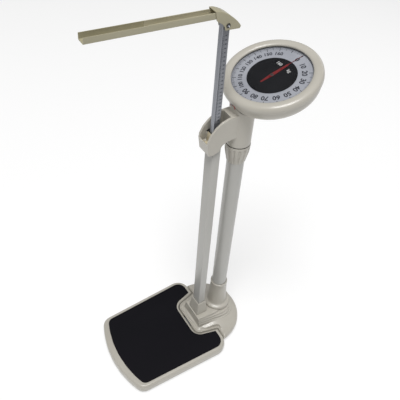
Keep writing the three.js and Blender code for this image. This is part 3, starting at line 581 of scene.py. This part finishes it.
CASE = ((0, -50), (90, -50), (97, -49.7), (102, -48.9), (106, -47.3), (109.6, -44.6), (112.6, -41.2),
        (115.2, -37), (117.2, -32), (118.8, -26.5), (119.8, -21), (120.6, -15), (121, -9.2),
        (117.6, -9.2), (116.2, -23), (112.4, -35), (105.6, -42.6), (96, -46.4), (0, -46.4))
WINDOW_Z = -26
bowl = spun(CASE, steps=144)
drill(bowl, block((0, -115, WINDOW_Z), (18, 20, 9), 1.6))
throat = spun([(0, 700), (26, 700), (26, 1100), (0, 1100)], steps=64)
dial_frame = Matrix.Translation(Vector(DIAL_PLACE) / 1000) @ Matrix.Rotation(DIAL_TILT, 4, "X")
throat.matrix_world = dial_frame.inverted() @ Matrix.Translation((0, COLUMN_Y / 1000, 0))
drill(bowl, throat)
on_dial(bowl)
hand_over(bowl, "dial_bowl", "base", cream, ["dial_case"])

# Window frame: a thin dark-red bezel pushed into the window, round the wheel.
window_red = enamel("window bezel red", (0.30, 0.09, 0.08), (0.42, 0.17, 0.15), patch=90, rough=(0.35, 0.5))
window_frame = block((0, -119.2, WINDOW_Z), (21.2, 3.4, 11.8), 1.4)
drill(window_frame, block((0, -119, WINDOW_Z), (16.8, 20, 7.6), 1.2))
hand_over(on_dial(window_frame), "wheel_window_frame", "base", window_red)

# Case screw: a slotted pan head above the window.
screw = spun([(0, -12), (1.6, -12), (1.6, -2), (3.5, -2), (3.6, -1.4), (3.3, -0.6), (2.3, -0.1), (0, 0)],
             steps=32)
drill(screw, block((0, 0, 0), (8, 0.8, 1.6)))
screw.rotation_euler = (math.radians(90), 0, 0)
screw.location = (0, -0.123, -0.0173)
start_piece()
screw.select_set(True)
bpy.context.view_layer.objects.active = screw
bpy.ops.object.transform_apply(location=True, rotation=True)
hand_over(on_dial(screw), "case_screw_head", "base", ground_steel, ["case_screw"])

# ---------------------------------------------------------------------------------------------
# Bezel and glass. A broad rounded ring that snaps over the case and holds a slightly domed
# clear window.
BEZEL = ((98.6, -2.1), (98.6, 0.2), (98.9, 1.1), (99.8, 2.0), (101.6, 3.0), (104, 3.9), (107, 4.5),
         (110.5, 4.6), (113.8, 4.2), (116.6, 3.3), (119, 1.9), (121, 0.1), (122.4, -2.2), (123.2, -4.8),
         (123.6, -8), (123.6, -12), (123.2, -13), (121.8, -13), (121.5, -12.6), (121.5, -8.8),
         (104, -8.8), (104, -2.1), (98.6, -2.1))
ring = on_dial(spun(BEZEL, steps=160))
hand_over(ring, "dial_bezel", "base", cream, ["bezel"])

clear, _, clear_shader = plain_material("clear window", (0.05, 0.055, 0.06), 0.04)
clear_shader.inputs["Alpha"].default_value = 0.05
clear_shader.inputs["Specular IOR Level"].default_value = 0.1
dome = on_dial(spun([(0, -4), (103.6, -4), (103.6, -2.4), (98, -2.3), (80, -1.9), (60, -1.5), (40, -1.2),
                     (20, -1), (0, -0.9)], steps=96))
hand_over(dome, "dial_window", "base", clear, ["dial_glass"])

# ---------------------------------------------------------------------------------------------
# Dial. A printed ring from 0 to 160 kg, a division for every kilogram, round a glossy black
# centre plate that hides the movement.
RING_TOP = -7.2
dial_print = enamel("dial ring print", (0.34, 0.353, 0.395), (0.40, 0.413, 0.455), patch=14,
                    rough=(0.5, 0.6), grain=1500, relief=0.03)
ink = enamel("dial ink", (0.012, 0.013, 0.02), (0.022, 0.023, 0.034), patch=60, rough=(0.5, 0.6),
             grain=2000, relief=0.02)
disc_black = enamel("centre plate black", (0.004, 0.004, 0.005), (0.008, 0.008, 0.01), patch=20,
                    rough=(0.25, 0.35), grain=1600, relief=0.02, shine=0.2)
face = on_dial(spun(ring_profile(6, 103.6, -8.6, RING_TOP), steps=128))
hand_over(face, "dial_ring", "base", dial_print, ["dial_plate"])
disc = on_dial(spun([(5, -6.9), (61, -6.9), (61.2, -6.6), (61, -6.2), (60.3, -5.9), (59.4, -5.85),
                     (5, -5.85), (5, -6.9)], steps=128))
hand_over(disc, "centre_plate", "base", disc_black, ["centre_disc"])


def division(inner, outer, width, count, sweep):
    """One printed line between two radii, repeated clockwise from the top of the dial."""
    mark = block((0, (inner + outer) / 2, RING_TOP + 0.05), (width, outer - inner, 0.12))
    bpy.ops.object.mode_set(mode="EDIT")
    bpy.ops.mesh.select_all(action="SELECT")
    bpy.ops.mesh.spin(steps=count, angle=-math.radians(sweep), center=(0, 0, 0), axis=(0, 0, 1), dupli=True)
    bpy.ops.object.mode_set(mode="OBJECT")
    return mark


def printed(text, height, place, turn=(0, 0, 0)):
    """Printed figures as thin raised ink, turned and placed before they are joined."""
    start_piece()
    bpy.ops.object.text_add(location=place, rotation=turn)
    figures = bpy.context.object
    figures.data.body, figures.data.size = text, height / 1000
    figures.data.align_x = figures.data.align_y = "CENTER"
    figures.data.extrude, figures.data.resolution_u = 0.00006, 3
    figures.data.offset = 0.0003 * height / 10
    bpy.ops.object.convert(target="MESH")
    bpy.ops.object.transform_apply(location=True, rotation=True)
    return bpy.context.object


marks = [division(92, 97, 0.6, 160, 320), division(90, 97, 1.1, 32, 320), division(87.5, 97, 1.6, 16, 320)]
for step in range(17):
    angle = math.radians(20 * step)
    spot = (0.0765 * math.sin(angle), 0.0765 * math.cos(angle), (RING_TOP + 0.06) / 1000)
    marks.append(printed(str(10 * step), 18 if step < 10 else 14.5, spot, (0, 0, -angle)))
rim_line = spun(ring_profile(97.4, 98, RING_TOP, RING_TOP + 0.1), steps=128)
scale_print = on_dial(join_to(rim_line, *marks))
hand_over(scale_print, "dial_figures", "base", ink)
white_ink = enamel("white print", (0.42, 0.42, 0.42), (0.55, 0.55, 0.55), patch=60, rough=(0.5, 0.6),
                   grain=2000, relief=0.02)
capacity = [printed(word, 12, (x / 1000, 0.037, -0.00582)) for word, x in (("160", -19), ("kg", 18))]
hand_over(on_dial(join_to(*capacity)), "capacity_figures", "base", white_ink)

# Needle and hub: a thin pressed needle, painted dark red, on a turned aluminium hub.
needle_red = enamel("needle paint", (0.15, 0.005, 0.006), (0.22, 0.008, 0.010), patch=80,
                    rough=(0.25, 0.35), coat=0.3)
NEEDLE_RIGHT = [(1.8, -34), (3.6, -12), (4.6, -4), (4.8, 0), (4.3, 12), (3.6, 30), (2.8, 46), (1.2, 50),
                (0.7, 54), (0.5, 93)]
NEEDLE = NEEDLE_RIGHT + [(-x, y) for x, y in reversed(NEEDLE_RIGHT)]
start_piece()
bpy.ops.mesh.primitive_circle_add(vertices=len(NEEDLE), radius=1)
needle = bpy.context.object
for corner, (x, y) in zip(needle.data.vertices, NEEDLE):
    corner.co = (x / 1000, y / 1000, -0.0055)
bpy.ops.object.mode_set(mode="EDIT")
bpy.ops.mesh.select_all(action="SELECT")
bpy.ops.mesh.edge_face_add()
bpy.ops.mesh.extrude_region_move(TRANSFORM_OT_translate={"value": (0, 0, 0.0006)})
bpy.ops.mesh.select_all(action="SELECT")
bpy.ops.mesh.normals_make_consistent(inside=False)
bpy.ops.object.mode_set(mode="OBJECT")
modify(needle, "BEVEL", width=0.00015, segments=2, limit_method="ANGLE")
hand_over(on_dial(needle), "needle", "pointer", needle_red, ["pointer"])
hub = on_dial(spun([(0, -4.85), (4.2, -4.85), (4.3, -4.7), (4.1, -4.5), (3.4, -4.3), (2, -4.2),
                    (0, -4.15)], steps=48))
hub_grey = enamel("burnished hub", (0.05, 0.045, 0.045), (0.09, 0.08, 0.08), patch=200, metallic=0.6,
                  grain=2000)
hand_over(hub, "needle_hub", "pointer", hub_grey, ["pointer_cap"])

# ---------------------------------------------------------------------------------------------
# Height rod. A 15 x 18 mm drawn aluminium tube with brushed faces. Its right side carries the
# printed scale: a line for every millimetre along the front edge, and the height in
# centimetres beside it, read at the mouth of the flat upright.
ROD_FRONT, ROD_SIDE = -33.8, 7.4
ROD_LOW, ROD_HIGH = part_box("height_rod")[0].z * 1000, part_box("height_rod")[1].z * 1000
READING_EDGE, READING_AT_EDGE = 866, 113

brushed = enamel("brushed aluminium", (0.24, 0.25, 0.275), (0.36, 0.37, 0.40), patch=220,
                 stretch=(6, 6, 0.06), rough=(0.3, 0.45), metallic=0.75, grain=900, relief=0.25)
rod = lofted([(oblong(7.4, 9, 1.1), ROD_LOW), (oblong(7.4, 9, 1.1), ROD_HIGH - 0.4),
              (oblong(7.1, 8.7, 1), ROD_HIGH)], low_cap=False, high_cap=False)
thicken(rod, 1.4)
hand_over(rod, "height_rod_tube", "height_rod", brushed, ["height_rod"])


def rod_lines(length, thickness, pitch, low, high):
    """A column of printed lines on the rod's right side, from its front edge."""
    middle = at(ROD_SIDE + 0.03, ROD_FRONT + 1.9 + length / 2, low) * 1000
    lines = block(middle, (0.08, length, thickness))
    modify(lines, "ARRAY", count=int((high - low) / pitch) + 1, use_relative_offset=False,
           use_constant_offset=True, constant_offset_displace=(0, 0, pitch / 1000))
    return lines


# Dark ink for the printed scale. The same colour also paints the groove shade strip below.
rod_ink_and_groove_shade = enamel("rod ink and groove shade", (0.015, 0.017, 0.03), (0.03, 0.032, 0.05), patch=60, rough=(0.5, 0.6),
                 grain=2000, relief=0.02)
SCALE_LOW, SCALE_HIGH = 296, 1126
rod_marks = [rod_lines(2.4, 0.22, 1, SCALE_LOW, SCALE_HIGH), rod_lines(3.4, 0.35, 5, SCALE_LOW, SCALE_HIGH),
             rod_lines(5.0, 0.5, 10, SCALE_LOW, SCALE_HIGH)]
for height in range(SCALE_LOW, SCALE_HIGH + 1, 10):
    reading = READING_AT_EDGE + (READING_EDGE - height) // 10
    spot = at(ROD_SIDE + 0.03, ROD_FRONT + 11.0, height)
    rod_marks.append(printed(str(reading), 4.6, spot, (math.pi / 2, 0, math.pi / 2)))
# Painted shade: a thin dark strip just behind the rod's front edge, in the ink colour, stands in for the
# shade inside a groove. It is joined to the printed marks.
GROOVE_SHADE_STRIP = [Vector((ROD_SIDE + x, ROD_FRONT + y)) for x, y in ((-0.2, 1), (0.06, 1), (0.06, 1.7), (-0.2, 1.7))]
groove_shade_strip = lofted([(GROOVE_SHADE_STRIP, ROD_LOW + 2), (GROOVE_SHADE_STRIP, ROD_HIGH - 18)])
scale_marks_and_groove_shade = join_to(groove_shade_strip, *rod_marks)
hand_over(scale_marks_and_groove_shade, "height_scale_marks_and_groove_shade", "height_rod", rod_ink_and_groove_shade)

CAP_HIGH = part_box("rod_cap")[1].z * 1000
cap = lofted([(oblong(5.6, 7.2, 0.8), 1139.2), (oblong(5.6, 7.2, 0.8), 1155.8),
              (oblong(7.3, 8.3, 1.2), 1155.9), (oblong(7.4, 8.4, 1.3), 1156.4),
              (oblong(6.9, 7.9, 1.1), CAP_HIGH)])
hand_over(cap, "rod_end_cap", "height_rod", black_moulding, ["rod_cap"])

# ---------------------------------------------------------------------------------------------
# Head arm. An open pressed channel, painted the olive cream of the hood, with a shorter liner
# inside its inner half. Hood and arm turn together about the rivet through the rod.
ARM_PITCH = math.radians(3.3)
ARM_ROOT, ARM_TIP, ARM_LOW = -46, -335, 1168.8
olive = enamel("arm paint", (0.31, 0.285, 0.185), (0.39, 0.36, 0.25), patch=10, stretch=(1, 0.4, 1),
               rough=(0.3, 0.42), grain=1100, relief=0.1, coat=0.2)
olive_light = enamel("liner paint", (0.40, 0.37, 0.26), (0.48, 0.445, 0.33), patch=14, rough=(0.32, 0.45),
                     grain=1100, relief=0.1, coat=0.2)


def open_channel(half, low, high, wall, near, far):
    """A pressed channel, open at the top: a U bent round two soft corners, then thickened."""
    start_piece()
    bends = [(-half, high), (-half, high - 0.5), (-half, low + 2.2)]
    bends += [(-half + 2.2 - 2.2 * math.cos(a), low + 2.2 - 2.2 * math.sin(a)) for a in (0.39, 0.79, 1.18)]
    bends += [(-half + 2.2, low)]
    bends += [(-x, z) for x, z in reversed(bends)]
    bpy.ops.mesh.primitive_circle_add(vertices=len(bends), radius=1)
    piece = bpy.context.object
    for corner, (x, z) in zip(piece.data.vertices, bends):
        corner.co = (x / 1000, near / 1000, z / 1000)
    bpy.ops.object.mode_set(mode="EDIT")
    mesh = bmesh.from_edit_mesh(piece.data)
    closing = next(e for e in mesh.edges if {c.index for c in e.verts} == {0, len(bends) - 1})
    mesh.edges.remove(closing)
    bmesh.update_edit_mesh(piece.data)
    bpy.ops.mesh.select_all(action="SELECT")
    bpy.ops.mesh.extrude_region_move(TRANSFORM_OT_translate={"value": (0, (far - near) / 1000, 0)})
    bpy.ops.mesh.select_all(action="SELECT")
    bpy.ops.mesh.normals_make_consistent(inside=False)
    bpy.ops.object.mode_set(mode="OBJECT")
    thicken(piece, wall)
    piece.data.transform(Matrix.Translation(at(0, ARM_ROOT, ARM_LOW)) @ Matrix.Rotation(-ARM_PITCH, 4, "X")
                         @ Matrix.Translation((0, -ARM_ROOT / 1000, 0)))
    return piece


arm = open_channel(11.3, 0, 13.5, 1.3, ARM_ROOT, ARM_TIP)
hand_over(arm, "head_arm_channel", "head_arm", olive, ["head_arm"])
liner = open_channel(9.95, 1.35, 13.9, 1.2, ARM_ROOT - 1, -206)
hand_over(liner, "head_arm_liner", "head_arm", olive_light, ["arm_liner"])

# Hood: one pressing with two cheeks and a bowed web that slopes down behind the rod.
HOOD_TOP = [(8, 1144), (3.6, 1149.6), (-1, 1154.7), (-6, 1159.5), (-12, 1164.7), (-18, 1169.6), (-24, 1174),
            (-32, 1178.9), (-40, 1182.9), (-47, 1185.6), (-52, 1187), (-58, 1187.6)]
HOOD_LOW = [(-54, 1167), (-46, 1161.4), (-38.5, 1156), (-33, 1149), (-31, 1141.5), (5, 1138.5)]
HOOD_HALF, HOOD_WALL = 13, 1.4
profile = HOOD_TOP + HOOD_LOW
hood = side_slab(profile, -HOOD_HALF, HOOD_HALF, 0)
bpy.context.view_layer.objects.active = hood
bpy.ops.object.mode_set(mode="EDIT")
bpy.ops.mesh.select_mode(type="FACE")
bpy.ops.mesh.select_all(action="DESELECT")
mesh = bmesh.from_edit_mesh(hood.data)
low_points = [at(0, y, z) for y, z in [HOOD_TOP[-1], *HOOD_LOW, HOOD_TOP[0]]]
low_middles = [(a + b) / 2 for a, b in zip(low_points, low_points[1:])]
for face in mesh.faces:
    middle = face.calc_center_median()
    face.select_set(any((Vector((0, middle.y, middle.z)) - m).length < 0.0003 for m in low_middles))
bmesh.update_edit_mesh(hood.data)
bpy.ops.mesh.delete(type="FACE")
bpy.ops.object.mode_set(mode="OBJECT")
modify(hood, "BEVEL", width=0.0016, segments=4, limit_method="ANGLE", angle_limit=math.radians(60))
thicken(hood, HOOD_WALL)
RIVET_Y, RIVET_Z = -24.8, 1151
pin_hole = spun([(0, -20), (3.2, -20), (3.2, 20), (0, 20)], steps=32)
pin_hole.rotation_euler = (0, math.radians(90), 0)
drill(hood, stand(pin_hole, y=RIVET_Y, z=RIVET_Z))
hand_over(hood, "arm_hood", "head_arm", olive, ["hood"])

# Rivet: a steel pin through hood and rod with a hollow in each head, in two black eyelets.
rivet = spun([(0, -14.9), (0.9, -14.9), (1.1, -14.4), (1.7, -14.4), (2.1, -15), (2.6, -14.8),
              (2.8, -13.3), (2.8, 13.3), (2.6, 14.8), (2.1, 15), (1.7, 14.4), (1.1, 14.4), (0.9, 14.9),
              (0, 14.9)], steps=48)
eyelets = [spun([(3, out * 13.2), (5, out * 13.2), (5, out * 13.8), (4.6, out * 14.4), (3.6, out * 14.6),
                 (3, out * 14.3), (3, out * 13.2)], steps=48) for out in (-1, 1)]
for piece in (rivet, *eyelets):
    piece.rotation_euler = (0, math.radians(90), 0)
    stand(piece, y=RIVET_Y, z=RIVET_Z)
hand_over(rivet, "arm_rivet_pin", "height_rod", ground_steel, ["arm_rivet"])
hand_over(join_to(*eyelets), "arm_rivet_eyelets", "height_rod", black_moulding)
